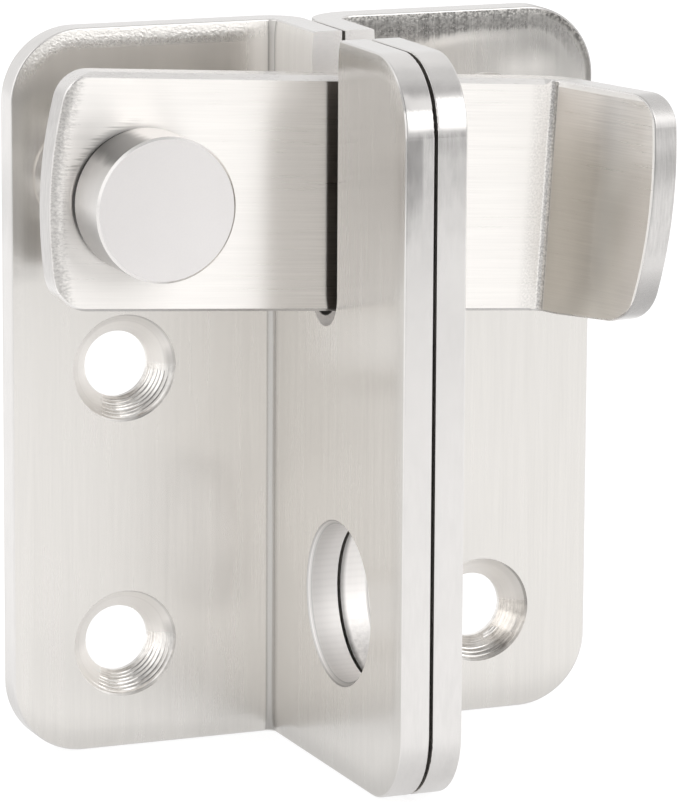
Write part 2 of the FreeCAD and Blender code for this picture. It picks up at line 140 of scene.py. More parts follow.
class Mat:
    """A node material worked in bench millimetres."""

    def __init__(self, name, metal=1.0, aniso=0.0, tangent=None):
        self.m = bpy.data.materials.new(name)
        self.m.use_nodes = True
        self.t = self.m.node_tree
        self.t.nodes.clear()
        self.out = self.t.nodes.new("ShaderNodeOutputMaterial")
        self.p = self.t.nodes.new("ShaderNodeBsdfPrincipled")
        self.t.links.new(self.p.outputs[0], self.out.inputs[0])
        self.p.inputs["Metallic"].default_value = metal
        self.p.inputs["Anisotropic"].default_value = aniso
        if tangent is not None:
            c = self.t.nodes.new("ShaderNodeCombineXYZ")
            for i in range(3):
                c.inputs[i].default_value = tangent[i]
            self.t.links.new(c.outputs[0], self.p.inputs["Tangent"])
        o = self.t.nodes.new("ShaderNodeTexCoord").outputs["Object"]
        s = self.t.nodes.new("ShaderNodeSeparateXYZ")
        self.t.links.new(o, s.inputs[0])
        self.x = E(self.t, s.outputs[0]) * 1000.0 - SHIFT.x
        self.y = E(self.t, s.outputs[1]) * 1000.0 - SHIFT.y
        self.z = E(self.t, s.outputs[2]) * 1000.0 - SHIFT.z

    def num(self, v):
        return E(self.t, v)

    def noise(self, x, y, z, detail=2.0, rough=0.5, dist=0.0):
        c = self.t.nodes.new("ShaderNodeCombineXYZ")
        for i, v in enumerate((x, y, z)):
            if isinstance(v, E):
                if isinstance(v.v, (int, float)):
                    c.inputs[i].default_value = v.v
                else:
                    self.t.links.new(v.v, c.inputs[i])
            else:
                c.inputs[i].default_value = v
        n = self.t.nodes.new("ShaderNodeTexNoise")
        n.inputs["Scale"].default_value = 1.0
        n.inputs["Detail"].default_value = detail
        n.inputs["Roughness"].default_value = rough
        n.inputs["Distortion"].default_value = dist
        self.t.links.new(c.outputs[0], n.inputs["Vector"])
        return E(self.t, n.outputs["Fac"])

    def blend(self, fac, a, b):
        n = self.t.nodes.new("ShaderNodeMix")
        n.data_type = "RGBA"
        n.clamp_factor = True
        for sock, v in ((n.inputs[0], fac), (n.inputs[6], a), (n.inputs[7], b)):
            if isinstance(v, E):
                v = v.v
            if isinstance(v, (int, float)):
                sock.default_value = v
            elif isinstance(v, (tuple, list)):
                sock.default_value = (*v[:3], 1)
            else:
                self.t.links.new(v, sock)
        return n.outputs[2]

    def shade(self, col, fac):
        """Colour times a number."""
        n = self.t.nodes.new("ShaderNodeVectorMath")
        n.operation = "SCALE"
        if isinstance(col, (tuple, list)):
            n.inputs[0].default_value = col[:3]
        else:
            self.t.links.new(col, n.inputs[0])
        self.t.links.new(fac.v, n.inputs["Scale"])
        return n.outputs[0]

    def base(self, col):
        self.t.links.new(col, self.p.inputs["Base Color"])

    def rough(self, e):
        self.t.links.new(e.v, self.p.inputs["Roughness"])

    def metal(self, e):
        self.t.links.new(e.v, self.p.inputs["Metallic"])

    def bump(self, height_mm):
        """Bump from a height in millimetres."""
        n = self.t.nodes.new("ShaderNodeBump")
        n.inputs["Strength"].default_value = 1.0
        n.inputs["Distance"].default_value = MM
        self.t.links.new(height_mm.v, n.inputs["Height"])
        self.t.links.new(n.outputs[0], self.p.inputs["Normal"])


def times(col, k):
    return tuple(c * k for c in col)


STEEL = (0.765, 0.742, 0.712)                # brushed faces, warm
BRIGHT = (0.885, 0.858, 0.828)               # the arm's paler brushing
NEUTRAL = (0.776, 0.756, 0.740)              # cut and turned surfaces


# ------------------------------------------------------------------ brackets
def rounded(m, a, length):
    """Distance inside the rounded outline, a running out from the bend."""
    qa = a - (length - CORNER)
    qz = (m.z - HEIGHT / 2).abs() - (HEIGHT / 2 - CORNER)
    return CORNER - (hyp(qa.max(0.0), qz.max(0.0)) + qa.max(qz).min(0.0))


def margins(m, side):
    """(distance inside the outline, 1 on the plate and 0 on the flange)."""
    out = m.x * float(side)
    on_plate = out.smooth(HGAP + T, HGAP + T + 2 * BEND[side])
    dp, df = rounded(m, out, LEAF[side]), rounded(m, -m.y, DEPTH)
    return df + (dp - df) * on_plate, on_plate


def bracket_face(side):
    m = Mat("bracket_face_" + ("latch" if side < 0 else "strike"), aniso=0.85, tangent=(1, 1, 0))
    d, on_plate = margins(m, side)
    x, y, z = m.x, m.y, m.z
    fine = m.noise(x * 5.0, y * 5.0, z * 0.11, 3.0, 0.55)
    broad = m.noise(x * 1.0 + 7.3, y * 1.0, z * 0.035, 2.0, 0.5)
    cloud = m.noise(x * 0.10, y * 0.10 + 3.1, z * 0.07, 2.0, 0.5)
    grain = m.noise(x * 9.0, y * 9.0, z * 1.6 + 5.0, 1.0)
    streak = fine * 0.5 + broad * 0.5
    plain = streak.lin(0.32, 0.68, 0.955, 1.025) + cloud.lin(0.3, 0.7, -0.012, 0.012)
    k = plain
    out = x * float(side)
    # 1 on the faces turned to the front, 0 on the back and between the flanges
    seen = (0.0 - y).min(out).smooth(1.0, 2.4)
    xb, yb = HGAP + T + BEND[side], -T - BEND[side]
    # the punched margin: worn and dented where it rolls over
    roll = d.smooth(2.3, 0.9)
    dents = m.noise(x * 4.2, y * 4.2, z * 4.2, 2.0, 0.6)
    top = z.smooth(63.0, 68.0)
    dented = roll * top * (1.0 if side < 0 else out.smooth(27.5, 21.0, 0.25, 1.0))
    if side < 0:
        dented = dented * on_plate
        k = k + d.smooth(0.2, 1.0) * dented * dents.lin(0.38, 0.62, -0.14, 0.10)
        # a painted reflection: a pale spot on the plate across from the padlock hole
        k = k + hyp((x + 9.0) * 1.5, z - 21.0).smooth(9.0, 3.5) * on_plate * 0.075
        # and painted shade, a darker spot, at the foot of the bend
        k = k - hyp(x + 8.0, z).smooth(5.0, 2.0) * on_plate * 0.06
        # above the arm the corner of the bend is dull, less metallic, and painted pale against the arm's shade
        painted_light = z.smooth(62.0, 64.2) * out.smooth(7.0, 4.2) * y.smooth(-14.4, -12.4)
        k = k + painted_light * 0.22
        m.metal(1.0 - painted_light * seen * 0.80)
        # behind it, a darker patch
        k = k - out.near(8.8, 4.6) * z.smooth(61.5, 63.0) * d.smooth(1.6, 2.6) * on_plate * 0.12
        # shine and shade behind the arm's end
        k = k + on_plate * out.smooth(25.5, 27.5) * (z.near(58.0, 2.2) * 0.08 - z.near(47.3, 1.8) * 0.15)
        # a paler line along the flange by the bend
        k = k + y.near(yb - 1.0, 0.9) * (1.0 - on_plate) * z.smooth(63.0, 61.0) * 0.06
        # the flange's front margin is a shade darker than its middle
        k = k - d.smooth(3.2, 0.4) * (1.0 - on_plate) * (1.0 - top) * 0.11
        # inside bend: painted shade, with a painted highlight line and painted dark lines
        bend = out.smooth(xb + 0.15, xb - 0.1) * y.smooth(yb - 0.1, yb + 0.15)
        k = k - bend * 0.32 + y.near(yb + 0.10, 0.09) * bend * 0.30
        k = k - y.near(yb - 0.02, 0.07) * out.smooth(xb - 0.2, xb - 0.5) * fine.lin(0.3, 0.6, 0.2, 0.36)
        k = k - out.near(xb - 0.05, 0.10) * y.smooth(yb, yb + 0.3) * 0.06
        k = k - painted_light * (out.near(xb - 0.10, 0.10) * y.smooth(yb, yb + 0.3) * 0.34 + y.near(yb + 0.20, 0.12) * 0.30)
    else:
        # darker upper margin, streaked, with a paler band below it
        low = d - out.smooth(17.5, 9.5) * 1.1
        upper_margin = (low + (fine - 0.5) * 1.1).smooth(2.3, 1.75) * top
        k = k - upper_margin * (dents.lin(0.36, 0.60, 0.56, 0.32) - (fine - 0.5) * 0.5) * out.smooth(28.0, 20.0, 0.50, 1.0)
        k = k + upper_margin * d.smooth(0.95, 0.25) * dents.lin(0.42, 0.6, 0.0, 0.42)
        k = k + (low - 2.75).near(0.0, 0.75) * top * out.smooth(25.0, 14.5, 0.04, 0.22)
        k = k - (d - 3.3).near(0.0, 1.5) * top * out.smooth(21.5, 25.0) * 0.20
        # the far corner's rolled margin is rougher, with painted shade on it
        far = d.smooth(1.0, 0.5) * out.smooth(24.0, 26.0) * z.smooth(60.0, 63.0) * seen
        k = k - far * 0.35
        # painted reflection of the arm's top: the plate is paler again down to the arm
        k = k + z.near(64.0, 2.1) * out.smooth(19.0, 22.0) * out.smooth(27.5, 24.0) * 0.28
    # rubbing near the slot and the flange's front edge
    slot = (hyp(y - SLOT_Y, (z - (SLOT_FLOOR[side] + SLOT_R)).min(0.0)) - SLOT_R).abs()
    rub = slot.smooth(1.6, 0.0) * (1.0 - on_plate) * 0.02
    m.base(m.shade(STEEL, plain + (k + rub - plain) * seen))
    m.rough(0.262 + (streak - 0.5) * 0.10 + (cloud - 0.5) * 0.05 + dented * 0.03 + (far * 0.40 if side > 0 else 0.0))
    m.bump(fine * 0.0022 + broad * 0.004 + grain * 0.0008 + dented * dents * 0.030
           + (roll - dented) * dents * 0.004)
    return m


def bracket_edge(side):
    """Outline edges, satin from tumbling."""
    m = Mat("bracket_edge_" + ("latch" if side < 0 else "strike"))
    x, y, z = m.x, m.y, m.z
    fine = m.noise(x * 6.0, y * 6.0, z * 0.5, 2.0)
    blot = m.noise(x * 0.8, y * 0.8, z * 0.35 + 2.0, 2.0)
    cloud = m.noise(x * 0.2, y * 0.2, z * 0.12 + 9.0, 1.0)
    k = 0.96 + (fine - 0.5) * 0.09 + (blot - 0.5) * 0.10 + (cloud - 0.5) * 0.06
    h = fine * 0.003 + blot * 0.012
    # the front corner is painted darker above, cutting its highlight short, with a ragged border
    a = (65.2 if side < 0 else 66.2)
    k = k * (1.0 - y.smooth(-27.4, -28.4) * (z + (fine - 0.5) * 0.5).smooth(a, a + 0.5) * z.smooth(68.4, 67.0) * (0.46 if side < 0 else 0.38))
    # painted shade low on the front edge, near the floor
    k = k - y.smooth(-32.0, -34.0) * z.smooth(6.0, 2.0) * 0.05
    if side < 0:
        # painted shade on the plate's outer edge, beside the arm's left end
        k = k - x.smooth(-28.0, -29.0) * z.near(53.5, 6.0) * 0.12
        # a knock that leans the left part of the flange's front edge over,
        # with painted shade on it
        front = y.smooth(-32.0, -34.0)
        d = (-1.35 - x).max(0.0)
        knock = z.smooth(53.0, 58.5) * z.smooth(67.6, 66.0) * front
        h = h - d * d * knock * 0.046
        k = k - x.smooth(-1.15, -1.5) * x.smooth(-3.1, -2.95) * z.smooth(63.4, 62.7) * z.smooth(54.0, 60.5) * front * 0.36
    else:
        front = y.smooth(-32.0, -34.0)
        # painted reflection on the front edge: paler through the middle, a dark band just under the corner
        k = k + front * z.near(53.0, 8.0) * 0.09 - front * z.near(62.2, 1.4) * 0.10
        # the plate's far corner is rougher, with painted shade on it
        painted_dark = x.smooth(23.0, 26.0) * z.smooth(60.0, 63.0)
        k = k - painted_dark * 0.34
    m.base(m.shade(NEUTRAL, k))
    m.rough(0.23 + (fine - 0.5) * 0.10 + (blot - 0.5) * 0.08 + (painted_dark * 0.40 if side > 0 else 0.0))
    m.bump(h)
    return m


def slot_wall(side):
    """Punched walls of the arm slot, coarse and dull."""
    m = Mat("slot_wall_" + ("latch" if side < 0 else "strike"), metal=0.6)
    x, y, z = m.x, m.y, m.z
    tear = m.noise(x * 1.4, y * 5.0, z * 5.0, 2.0, 0.6)
    spots = m.noise(x * 5.0, y * 5.0, z * 5.0, 2.0, 0.6)
    out = x * float(side)
    burr = out.smooth(HGAP + 1.2, HGAP + 0.6)
    k = 1.06 + (tear - 0.5) * 0.10 + (spots - 0.5) * 0.26 * burr
    col = m.shade(times(NEUTRAL, 1.05), k)
    if side < 0:
        # the floor: a sheared band at its mouth, painted pale and less metallic to lift it from the shade, and a
        # painted shadow behind it, cast along a fixed slant
        inner = hyp(y + 15.9 - (x + 3.17) * 2.34, (z + (x + 3.17) * 0.39 - 46.8).min(0.0))
        floor_ = z.smooth(SLOT_FLOOR[side] + 2.6, SLOT_FLOOR[side] + 2.2)
        painted_shadow = (inner + (spots - 0.5) * 0.25).smooth(3.34, 3.16) * floor_
        shear = (1.0 - painted_shadow) * floor_
        col = m.blend(painted_shadow, m.blend(shear, col, m.shade((0.97, 0.94, 0.92), 1.0 + (spots - 0.5) * 0.30)), (0.022, 0.019, 0.017))
        m.metal(0.6 - floor_ * 0.5)
    m.base(col)
    m.rough(0.58 + (tear - 0.5) * 0.16 + burr * 0.08)
    m.bump(tear * 0.006 + spots * burr * 0.010)
    return m


def slot_shade(side):
    """The slot's front wall, painted near black as shade, paler higher up."""
    m = Mat("slot_painted_shade_" + ("latch" if side < 0 else "strike"), metal=0.5)
    x, y, z = m.x, m.y, m.z
    smear = m.noise(x * 2.0, y * 4.0, z * 0.6, 2.0, 0.6)
    up = z.smooth(SLOT_FLOOR[side] + 14.0, HEIGHT)
    m.base(m.blend(smear + up * 0.4, (0.035, 0.032, 0.029), (0.13, 0.115, 0.10)))
    m.rough(0.55 + (smear - 0.5) * 0.2)
    m.bump(smear * 0.005)
    return m


def bore_wall(side):
    """Reamed wall and mouth of the padlock hole."""
    m = Mat("bore_wall_" + ("latch" if side < 0 else "strike"))
    dy, dz = m.y - LOCK_Y, m.z - LOCK_Z
    r = hyp(dy, dz)
    ang = dz.atan2(dy)
    rings = m.noise(m.x * 6.0, ang * 1.2, 0.5, 2.0, 0.6)
    blot = m.noise(m.x * 0.5, dy * 0.35, dz * 0.35, 2.0)
    rim = r.smooth(LOCK_R + 0.02, LOCK_R + 0.28)
    k = 0.97 + (rings - 0.5) * 0.06 + (blot - 0.5) * 0.08
    # the mouth is plate-toned, ruled by a pale and a dark line, painted highlight and painted shade along its rim
    k = k - rim * (0.22 - r.near(LOCK_R + 0.24, 0.07) * 0.30) - r.near(LOCK_R + 0.05, 0.09) * 0.30 - r.near(LOCK_R + 0.42, 0.08) * 0.20
    if side < 0:
        k = k + (1.0 - rim) * m.x.smooth(-2.6, -0.6) * 0.12
    else:
        # painted shading: paler from the middle up, darker next to the gap between the flanges
        k = k + (1.0 - rim) * (dz.smooth(-6.0, -2.0, 0.06, 0.28) - m.x.smooth(0.80, 0.25) * 0.62)
        # scuffed low down by the shackle
        k = k + (m.noise(m.x * 2.2, dy * 2.2, dz * 2.2, 3.0, 0.7) - 0.5) * dz.smooth(-2.0, -6.0) * 0.5
    m.base(m.shade(NEUTRAL, k))
    m.rough(0.54 + (rings - 0.5) * 0.10 + (blot - 0.5) * 0.08 - rim * 0.16)
    m.bump(rings * 0.0015)
    return m


def sink_wall(side):
    """Countersunk screw holes with the marks of the cutter."""
    m = Mat("countersink_" + ("latch" if side < 0 else "strike"))
    (x0, z0), (x1, z1) = SCREWS[side]
    upper = m.z.smooth((z0 + z1) / 2 - 1, (z0 + z1) / 2 + 1)
    dx = m.x - x0
    dz = m.z - z0 - upper * (z1 - z0)
    r, ang = hyp(dx, dz), dz.atan2(dx)
    # the cutter chattered below and to the right; the rest is turned smooth
    c = (ang + math.radians(52) - upper * math.radians(6)).op("COSINE")
    chatter = c.smooth(0.05, 0.60) * (ang + upper * math.radians(7)).smooth(math.radians(12), math.radians(0))
    rings = m.noise(r * 7.5 + upper * 13.0, ang * 0.5, m.y * 2.0, 2.0, 0.7)
    teeth = m.noise(r * 2.6, ang * 5.5, upper * 5.0 + 1.0, 2.0, 0.6)
    k = 1.0 + (rings - 0.5) * (0.08 + chatter * 0.60) + (teeth - 0.5) * chatter * 0.40
    # darker low down on the right, and a lip that is dark below
    dark_low_right = (ang + math.radians(62)).op("COSINE").smooth(0.86, 0.985)
    lip = r.smooth(SINK_R - 0.22, SINK_R - 0.12)
    if side < 0:
        dark = (ang + math.radians(76)).op("COSINE").smooth(0.80, 0.98) + (ang - math.radians(50)).op("COSINE").smooth(0.60, 0.98) * 0.7
        outer = r.smooth(4.25, 4.75)
        k = k - lip * (0.02 + dark * 0.22) - dark_low_right * r.smooth(SINK_R, 4.2) * 0.30
        k = k - outer * ((ang + math.radians(12)).op("COSINE").smooth(0.80, 0.97) * 0.34 + dark_low_right * 0.18 + 0.02)
        k = k - outer * (ang - math.radians(85)).op("COSINE").smooth(0.2, 0.9) * (0.02 + upper * 0.09)
        k = k - r.near(4.45, 0.10) * (1.0 - chatter) * 0.06
        k = k - r.near(5.12, 0.14) * (ang - math.radians(115)).op("COSINE").smooth(0.3, 0.9) * 0.12
        k = k + (ang + math.radians(143)).op("COSINE").smooth(0.78, 0.97) * 0.10
    else:
        dark = (ang - math.radians(24)).op("COSINE").smooth(0.72, 0.98)
        outer = r.smooth(4.25, 4.75)
        k = k - (ang - math.radians(25)).op("COSINE").smooth(-0.1, 0.7) * (0.07 + outer * 0.09)
        k = k - outer * (ang + math.radians(45)).op("COSINE").smooth(0.6, 0.95) * 0.14
        k = k - lip * (0.02 + dark * 0.32) - (ang + math.radians(76)).op("COSINE").smooth(0.70, 0.98) * r.smooth(3.8, 4.7) * 0.40
    m.base(m.shade((0.905, 0.877, 0.845), k))
    m.rough(0.44 - chatter * 0.29 + (rings - 0.5) * 0.10)
    m.bump((rings - 0.5) * (0.003 + chatter * 0.018) + (teeth - 0.5) * chatter * 0.014)
    return m


def flat(side, c, n):
    """True on the plate's and flange's flat faces."""
    out = c.x * side
    if abs(n.y) > 0.9995 and (abs(c.y + T) < 0.01 or abs(c.y) < 0.01):
        return True
    return abs(n.x) > 0.9995 and (abs(out - HGAP) < 0.01 or abs(out - HGAP - T) < 0.01)


def outline_distance(side, c):
    def box(a, length):
        qa, qz = a - (length - CORNER), abs(c.z - HEIGHT / 2) - (HEIGHT / 2 - CORNER)
        return CORNER - (math.hypot(max(qa, 0), max(qz, 0)) + min(max(qa, qz), 0))
    out = c.x * side
    return box(out, LEAF[side]) if out > HGAP + T + BEND[side] * 0.5 else box(-c.y, DEPTH)


def paint(node, mats, pick):
    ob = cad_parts[node]
    me = ob.data
    me.materials.clear()
    for m in mats:
        me.materials.append(m.m)
    for p in me.polygons:
        c = Vector(p.center) * 1000.0 - SHIFT
        p.material_index = pick(c, p.normal)
    return ob


def bracket_pick(side):
    def pick(c, n):
        if flat(side, c, n):
            return 0
        out = c.x * side
        for sx, sz in SCREWS[side]:
            if math.hypot(c.x - sx, c.z - sz) < SINK_R + 0.02:
                return 4
        if math.hypot(c.y - LOCK_Y, c.z - LOCK_Z) < LOCK_R + 0.4 and out < HGAP + T + 0.1:
            return 3
        if out < HGAP + T + 0.1 and c.y < -6:
            zc = SLOT_FLOOR[side] + SLOT_R
            if abs(math.hypot(c.y - SLOT_Y, min(c.z - zc, 0)) - SLOT_R) < 0.06 and abs(n.x) < 0.3:
                return 5 if n.y > 0.35 else 2
        return 1 if outline_distance(side, c) < 0.17 else 0
    return pick


for side, node in ((-1, "latch_bracket"), (1, "strike_bracket")):
    paint(node, [bracket_face(side), bracket_edge(side), slot_wall(side), bore_wall(side), sink_wall(side),
                 slot_shade(side)],
          bracket_pick(side))


# ------------------------------------------------------------------ arm
def strap(m):
    """(along the strap and round its bend, up, out from the front face)."""
    dx, dz = m.x - PIV_X, m.z - PIV_Z
    u = dx * math.cos(DROOP) - dz * math.sin(DROOP)
    s = dx * math.sin(DROOP) + dz * math.cos(DROOP)
    w = -(m.y - ARM_FRONT)
    t = (u - CREASE_U) * math.cos(TAB_DEG) + w * math.sin(TAB_DEG)
    k = u.smooth(CREASE_U - 0.5, CREASE_U + 0.3)
    return u + (t + CREASE_U - u) * k, s, w


def arm_face():
    m = Mat("arm_face", aniso=0.98, tangent=(0, 0, 1))
    u, s, w = strap(m)
    fine = m.noise(u * 0.10, s * 6.5, w * 0.08, 3.0, 0.6)
    mid = m.noise(u * 0.07 + 4.0, s * 2.1, w * 0.05, 2.0, 0.5)
    cloud = m.noise(u * 0.12, s * 0.14, 3.3, 2.0)
    streak = fine * 0.6 + mid * 0.4
    k = streak.lin(0.34, 0.66, 0.955, 1.02) + (cloud - 0.5) * 0.02
    # the rolled end, crossed by the brushing, and a little painted shade towards the slot
    end = crown(u, s)
    ragged = end + (fine - 0.5) * 1.7
    roll = ragged.smooth(1.75, 1.05)
    dents = m.noise(u * 3.0, s * 5.0, w * 5.0, 2.0, 0.65)
    k = k - roll * (0.14 + (dents - 0.5) * 0.9) - u.smooth(26.0, 33.0) * 0.03
    # stretched grain along the inside of the tab's bend, with painted shade in the crease
    pit = m.noise(u * 5.0, s * 5.0, w * 2.0, 2.0, 0.7)
    pitted = ((u - (CREASE_U - 1.1)).abs() + (pit - 0.5) * 1.4).smooth(1.7, 0.6)
    t = u - CREASE_U
    crease_shade = t.smooth(-0.62, -0.30) * t.smooth(0.42, 0.30)
    k = k - pitted * (0.07 + (pit - 0.5) * 0.6)
    k = k - crease_shade * (t.smooth(-0.30, 0.05, 0.04, 0.30) + (pit - 0.5) * 1.0 + s.smooth(4.0, 9.0) * 0.12) - t.near(0.27, 0.13) * 0.14
    # the tab's own shading, painted: darker by the crease, painted lighter above and towards its end
    on_tab = t.smooth(0.3, 0.6)
    upper = s.smooth(2.0, 9.5)
    middle = s.smooth(0.0, 4.0)
    k = k * (1.0 + on_tab * (t.near(7.2, 2.4) * (1.0 - middle) * 0.08 + t.near(8.2, 2.3) * middle * 0.10
                             - t.smooth(5.0, 4.0) * 0.025 - t.near(4.2, 3.4) * s.near(6.3, 4.2) * 0.07
                             + (t.smooth(9.3, 10.3) + t.smooth(11.0, 12.2)) * s.smooth(3.5, 7.0) * 0.06
                             - t.smooth(7.0, 8.5) * s.smooth(-5.2, -7.0) * 0.06
                             + t.smooth(6.6, 4.4) * (upper * 0.13 - 0.12) + t.smooth(7.0, 9.5) * (0.14 + upper * 0.05)
                             + t.near(7.9, 2.4) * s.smooth(-8.0, -5.5) * s.smooth(3.0, 0.0, 0.22, 0.30)
                             + t.smooth(10.5, 13.0) * (0.06 + upper * 0.12) + upper * 0.10))
    k = k.min(1.07) - on_tab * t.smooth(6.5, 8.0) * s.smooth(-4.0, -6.5) * 0.06
    k = k + on_tab * (fine - 0.5).max(-0.09) * t.smooth(1.5, 7.0) * (0.12 + upper * 0.48)
    # a painted highlight: a pale line just inside the tab's end and upper edge
    edge = (ARM_UP - 0.25 - s).min(43.0 - hyp(t + 29.6, s - 3.0))
    painted_highlight = on_tab * edge.smooth(0.42, 0.20) * t.smooth(0.8, 2.0) * s.smooth(-10.0, -8.8)
    # painted light above the knob, less metallic there
    painted_light = s.smooth(5.0, 8.0) * u.smooth(-1.0, -4.5) * ragged.smooth(1.2, 2.0)
    # satin, less metallic, where the tab's shading is painted lighter, past its darker half
    satin_where_lightened = on_tab * (t.smooth(5.5, 7.5) * 0.06 + t.near(7.3, 2.4) * (1.0 - middle) * s.smooth(-7.0, -3.5) * 0.15 + t.near(8.3, 2.4) * middle * 0.18
                      + (t.smooth(9.3, 10.3) + t.smooth(11.0, 12.2)) * s.smooth(3.5, 7.0) * 0.16)
    m.metal(1.0 - painted_highlight * 0.90 - painted_light * 0.6 - satin_where_lightened * (1.0 - painted_highlight))
    # a painted shadow of the knob, smeared along the grain, above and to its left
    rim = hyp(u, s) + (fine - 0.5) * 2.6
    k = k - rim.smooth(7.6, 6.9) * (s.atan2(u) - math.radians(130)).op("COSINE").smooth(0.76, 0.94) * 0.34
    # streaks across the shade in front of the slot
    k = k + (fine - 0.5) * u.smooth(14.0, 21.0) * u.smooth(34.0, 30.0) * 0.40 + u.near(18.5, 5.0) * s.smooth(3.0, 8.0) * 0.05
    k = (k + painted_highlight * 0.5 + painted_light * 0.10).min(1.12)
    hue = m.blend(on_tab * s.smooth(9.5, 2.0) * t.smooth(11.5, 8.0), BRIGHT, (0.885, 0.855, 0.800))
    m.base(m.shade(hue, k))
    m.rough(0.290 + (streak - 0.5) * 0.12 + (cloud - 0.5) * 0.03 + roll * 0.03)
    m.bump(fine * 0.0040 + mid * 0.006 + roll * dents * 0.020 + pitted * pit * 0.012
           - (0.36 - edge).max(0.0) * on_tab * 0.7)
    return m


def crown(u, s):
    """Distance in from the crowned left end."""
    return 43.0 - hyp(u - (43.0 - 8.9), s - 1.0)


def arm_edge():
    m = Mat("arm_edge")
    u, s, w = strap(m)
    fine = m.noise(u * 0.5, s * 6.0, w * 6.0, 2.0)
    blot = m.noise(u * 0.4, s * 0.4, w * 0.9, 2.0)
    k = 1.0 + (fine - 0.5) * 0.08 + (blot - 0.5) * 0.08
    # painted shade along the lower edge, next to the front face
    k = k - s.smooth(-ARM_DOWN + 0.40, -ARM_DOWN + 0.22) * w.smooth(-1.0, -0.5) * 0.30
    # the cut ends, drawn upright
    ends = u.smooth(CREASE_U + 12.7, CREASE_U + 13.1) + u.smooth(-7.6, -8.2)
    drawn = m.noise(m.x * 4.0, m.y * 4.0, s * 0.35, 3.0, 0.65)
    k = k - ends * 0.19 + ends * (drawn - 0.5) * 0.40
    # a painted highlight where the rounded end turns into the face
    painted_highlight = w.smooth(-0.34, -0.16) * u.smooth(-7.0, -7.7) * s.smooth(-9.6, -8.6)
    # the tab's end is painted darker above its middle and at its foot
    tip = u.smooth(CREASE_U + 9.5, CREASE_U + 11.0)
    k = k + painted_highlight * 0.30 - tip * (s.near(5.5, 3.6) * 0.20 + s.smooth(7.0, 9.5) * 0.24 + s.smooth(-2.0, -7.5) * 0.46)
    m.metal(1.0 - painted_highlight * 0.8)
    m.base(m.shade(NEUTRAL, k))
    m.rough(0.28 + (fine - 0.5) * 0.10 + (blot - 0.5) * 0.08 + ends * 0.10)
    m.bump(fine * 0.003 + blot * 0.012 + ends * drawn * 0.010)
    return m


def arm_back():
    """Unbrushed back of the arm, as the sheet came."""
    m = Mat("arm_back", metal=0.35)
    u, s, w = strap(m)
    mill = m.noise(u * 0.5, s * 1.5, w * 0.5, 3.0, 0.6)
    fleck = m.noise(u * 4.0, s * 4.0, w * 4.0, 2.0, 0.6)
    # painted shade: darker low down at the left end, lighter above and to the right, so the plate shows a darker
    # reflection
    painted_back_tone = s.smooth(5.5, 9.0).max(u.smooth(-2.0, 3.0)) * u.smooth(-4.0, 3.0, 0.72, 1.0)
    m.base(m.shade((0.93, 0.91, 0.885), 0.52 + painted_back_tone * 0.48 + (mill - 0.5) * 0.10 + (fleck - 0.5) * 0.06))
    m.rough(0.50 + (mill - 0.5) * 0.16)
    m.bump(fleck * 0.004 + mill * 0.004)
    return m


def arm_pick(c, n):
    dx, dz = c.x - PIV_X, c.z - PIV_Z
    u = dx * math.cos(DROOP) - dz * math.sin(DROOP)
    s = dx * math.sin(DROOP) + dz * math.cos(DROOP)
    nu = n.x * math.cos(DROOP) - n.z * math.sin(DROOP)
    ns = n.x * math.sin(DROOP) + n.z * math.cos(DROOP)
    if abs(ns) > 0.08 and (s > ARM_UP - 1.6 or s < -ARM_DOWN + 1.6):
        return 1
    if u < CREASE_U - 5:                      # strap: front and back face the wall line
        return (2 if n.y > 0 else 0) if abs(n.y) > 0.84 else 1
    if u < CREASE_U + 2.0 or abs(nu * math.sin(TAB_DEG) + n.y * math.cos(TAB_DEG)) > 0.93:
        return 0
    return 1


paint("flip_arm", [arm_face(), arm_edge(), arm_back()], arm_pick)


# ------------------------------------------------------------------ pivot
def around(m):
    dx, dz = m.x - PIV_X, m.z - PIV_Z
    return hyp(dx, dz), dz.atan2(dx)


def rivet_face():
    m = Mat("rivet_face")
    grit = m.noise(m.x * 7.0, m.y * 7.0, m.z * 7.0, 2.0, 0.6)
    cloud = m.noise(m.x * 0.3, m.y, m.z * 0.3, 2.0)
    # painted shading: the face a little darker on the left, paler on the right
    m.base(m.shade((0.826, 0.800, 0.790), 1.0 + (grit - 0.5) * 0.05 + (cloud - 0.5) * 0.04 + m.x.smooth(-30.0, -15.0, -0.04, 0.04)))
    m.rough(0.36 + (grit - 0.5) * 0.10)
    m.bump(grit * 0.004)
    return m


def rivet_side(name, rough, tone=1.0, depth=0.003, painted_shade_amount=0.0):
    m = Mat(name)
    r, ang = around(m)
    rings = m.noise(m.y * 6.0, ang * 1.5, r * 1.0, 2.0, 0.6)
    blot = m.noise(m.y * 0.5, ang * 2.0, 1.0, 2.0)
    k = 1.0 + (rings - 0.5) * 0.10 + (blot - 0.5) * 0.06
    if painted_shade_amount:
        # the head's side: painted shade on its upper left
        painted_dark = ((ang - math.radians(121)).op("COSINE") + (blot - 0.5) * 0.06).smooth(0.92, 0.985) * painted_shade_amount
        # and painted darker low on the left and below
        painted_dark = painted_dark + (ang + math.radians(149)).op("COSINE").smooth(0.82, 0.98) * 0.38 + (ang + math.radians(98)).op("COSINE").smooth(0.86, 0.98) * 0.34
        k = k - painted_dark * m.y.smooth(-16.5, -17.5)
    m.base(m.shade(times(NEUTRAL, tone), k))
    m.rough(rough + (rings - 0.5) * 0.08 + (blot - 0.5) * 0.06)
    m.bump(rings * depth)
    return m


def rivet_pick(c, n):
    r = math.hypot(c.x - PIV_X, c.z - PIV_Z)
    if n.y < -0.98:
        return 0
    if r > HEAD_R - 0.24 and c.y < ARM_FRONT - HEAD_H and n.y < -0.3:
        return 2
    return 1


